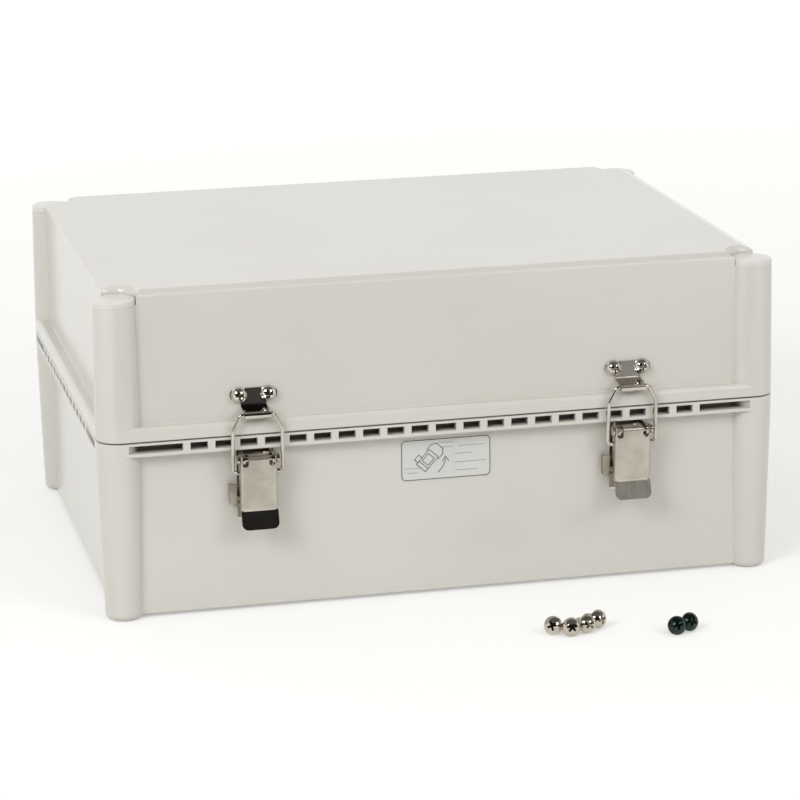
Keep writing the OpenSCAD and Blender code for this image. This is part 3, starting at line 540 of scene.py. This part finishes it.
def loose_screws(name, node, material, scale, spots):
    """Copies of one of the node's screws, each lying on its head's edge and its end."""
    low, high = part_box(node)
    whole = bmesh.new()
    whole.from_mesh(nodes[node].data)
    bmesh.ops.remove_doubles(whole, verts=whole.verts[:], dist=WELD)
    axis = Vector((low.x + HEAD_RADIUS, low.y + HEAD_RADIUS, 0))
    others = [v for v in whole.verts if (Vector((v.co.x, v.co.y, 0)) - axis).length > ONE_SCREW]
    bmesh.ops.delete(whole, geom=others, context="VERTS")
    bottom = min(v.co.z for v in whole.verts)
    length = high.z - bottom - HEAD_HEIGHT
    tilt = math.asin((HEAD_RADIUS - SHANK_RADIUS) / length)
    bmesh.ops.translate(whole, verts=whole.verts[:], vec=(-axis.x, -axis.y, -bottom - length))
    bmesh.ops.scale(whole, verts=whole.verts[:], vec=(scale, scale, scale))
    one = bpy.data.meshes.new(name + "_one")
    whole.to_mesh(one)
    whole.free()
    bm = bmesh.new()
    for x, y, facing, roll in spots:
        before = set(bm.verts)
        bm.from_mesh(one)
        verts = [v for v in bm.verts if v not in before]
        lie = Matrix.Rotation(math.radians(90) - tilt, 4, "X")
        place = (Matrix.Translation((x * MM, y * MM, scale * HEAD_RADIUS * math.cos(tilt)))
                 @ Matrix.Rotation(math.radians(facing), 4, "Z") @ lie
                 @ Matrix.Rotation(math.radians(roll), 4, "Z"))
        bmesh.ops.transform(bm, matrix=place, verts=verts)
    bpy.data.meshes.remove(one)
    new_object(name, bm, material)


# The loose plate screws wear the nickel copy with painted shade.
loose_screws("loose_plate_screws", "plate_screws", painted_shade_nickel, 1.15, PLATE_SCREW_SPOTS)
loose_screws("loose_earth_screws", "earth_screws", dark_zinc, 1.14, EARTH_SCREW_SPOTS)


# ---------- floor, cards and light ----------

FLOOR_TONE = (0.64, 0.64, 0.62, 1)
FLOOR_HALF = 6.0
FLOOR_GLOW = (0.5, 2.2, 0.37, 0.60)    # near and far from the box, and the glow at each
CARD_TONE = (0.012, 0.012, 0.012, 1)
PLAIN = (0.0, 1.0, 0.0, 0.0)
# Each card's name, corner, sides, and two places along x with the glow at each.
CARDS = (
    ("front_drape", (-3.0, -3.2, 0.02), (6.0, 0, 0), (0, 0, 3.2), (-0.5, 1.5, 0.02, 0.36)),
    ("standing_card", (-0.40, -1.0, 0.02), (0.66, 0, 0), (0, 0, 0.9), (0.10, 0.26, 0.0, 0.10)),
    ("floor_card", (-0.40, -1.0, 0.01), (0.80, 0, 0), (0, 0.52, 0), (0.03, 0.22, 0.05, 0.36)),
    ("left_card", (-1.3, -2.0, 0.02), (0, 1.3, 0), (0, 0, 0.8), PLAIN),
    ("right_card", (1.3, -2.0, 0.02), (0, 1.3, 0), (0, 0, 0.8), PLAIN),
)
# Each lamp's name, place, width and power.
LAMPS = (
    ("right_light", (1.5, -2.1, 1.5), 1.1, 17),
    ("left_light", (-1.7, -1.5, 1.5), 0.9, 26),
    ("back_light", (-1.3, 2.2, 1.9), 1.2, 5),
)
LAMP_TARGET = Vector((0, 0, 0.1))
SKY_LIGHT = 0.67
CEILING = (0.30, 0.66, 1.0, 0.14)      # from and up to these heights, and the light at each


def seen_directly(w):
    """1 for what the camera, a reflection or clear plastic sees."""
    path = w.add("ShaderNodeLightPath").outputs
    seen = w.math("MAXIMUM", path["Is Camera Ray"], path["Is Glossy Ray"])
    return w.math("MAXIMUM", seen, path["Is Transmission Ray"])


def make_floor():
    """A pale floor whose glow is seen, but doesn't light the object."""
    w, shader = finish("studio_floor", Base_Color=FLOOR_TONE, Roughness=0.9,
                       Specular_IOR_Level=0.0, Emission_Color=(1, 1, 0.99, 1))
    away = w.add("ShaderNodeVectorMath", {0: w.place()}, operation="LENGTH").outputs["Value"]
    glow = w.spread(away, *FLOOR_GLOW)
    w.join(w.math("MULTIPLY", seen_directly(w), glow), shader.inputs["Emission Strength"])
    bm = bmesh.new()
    bmesh.ops.create_grid(bm, x_segments=1, y_segments=1, size=FLOOR_HALF)
    new_object("floor", bm, w.material)


def dark_card(name, corner, across, up, shade):
    """A card that only reflections see, with a glow that changes along x."""
    w, shader = finish(name, Base_Color=CARD_TONE, Roughness=1.0, Specular_IOR_Level=0.0,
                       Emission_Color=(1, 1, 0.98, 1))
    w.join(w.spread(w.axes(w.place())["X"], *shade), shader.inputs["Emission Strength"])
    bm = bmesh.new()
    corner, across, up = Vector(corner), Vector(across), Vector(up)
    verts = [bm.verts.new(p) for p in (corner, corner + across, corner + across + up, corner + up)]
    bm.faces.new(verts)
    card = new_object(name, bm, w.material)
    card.visible_camera = False
    card.visible_diffuse = False
    card.visible_shadow = False
    card.visible_transmission = False


def area_light(name, place, size, power):
    data = bpy.data.lights.new(name, "AREA")
    data.energy = power
    data.size = size
    lamp = bpy.data.objects.new(name, data)
    lamp.location = place
    lamp.rotation_euler = (LAMP_TARGET - Vector(place)).to_track_quat("-Z", "Y").to_euler()
    bpy.context.scene.collection.objects.link(lamp)


def make_world():
    """White to the camera, plain to the light, and a dim ceiling in reflections."""
    world = bpy.data.worlds.new("studio")
    bpy.context.scene.world = world
    world.use_nodes = True
    w = Wiring(world.node_tree)
    back = world.node_tree.nodes["Background"]
    back.inputs["Color"].default_value = (1, 1, 1, 1)
    path = w.add("ShaderNodeLightPath").outputs
    clear = w.math("MAXIMUM", path["Is Camera Ray"], path["Is Transmission Ray"])
    plain = w.spread(clear, 0.0, 1.0, SKY_LIGHT, 1.0)
    direction = w.add("ShaderNodeTexCoord").outputs["Generated"]
    ceiling = w.spread(w.axes(direction)["Z"], *CEILING)
    w.join(w.mix(path["Is Glossy Ray"], plain, ceiling), back.inputs["Strength"])


make_floor()
for card in CARDS:
    dark_card(*card)
for lamp in LAMPS:
    area_light(*lamp)
make_world()

bpy.context.scene.view_settings.view_transform = "Standard"


# ---------- camera ----------

CAMERA_PLACE = Vector((-0.4098, -1.7890, 0.5737))
CAMERA_YAW = math.radians(13.118)
CAMERA_DOWN = math.radians(15.189)
CAMERA_ROLL = math.radians(-0.711)
CAMERA_LENS = 146.0
CAMERA_SENSOR = 36.0
CAMERA_REACH = 50.0


def make_camera():
    forward = Vector((math.sin(CAMERA_YAW) * math.cos(CAMERA_DOWN),
                      math.cos(CAMERA_YAW) * math.cos(CAMERA_DOWN), -math.sin(CAMERA_DOWN)))
    right = Vector((math.cos(CAMERA_YAW), -math.sin(CAMERA_YAW), 0))
    up = right.cross(forward)
    right, up = (math.cos(CAMERA_ROLL) * right + math.sin(CAMERA_ROLL) * up,
                 -math.sin(CAMERA_ROLL) * right + math.cos(CAMERA_ROLL) * up)
    data = bpy.data.cameras.new("camera")
    data.lens = CAMERA_LENS
    data.sensor_width = CAMERA_SENSOR
    data.clip_end = CAMERA_REACH
    camera = bpy.data.objects.new("camera", data)
    turn = Matrix((right, up, -forward)).transposed()
    camera.matrix_world = Matrix.Translation(CAMERA_PLACE) @ turn.to_4x4()
    bpy.context.scene.collection.objects.link(camera)
    bpy.context.scene.camera = camera


make_camera()
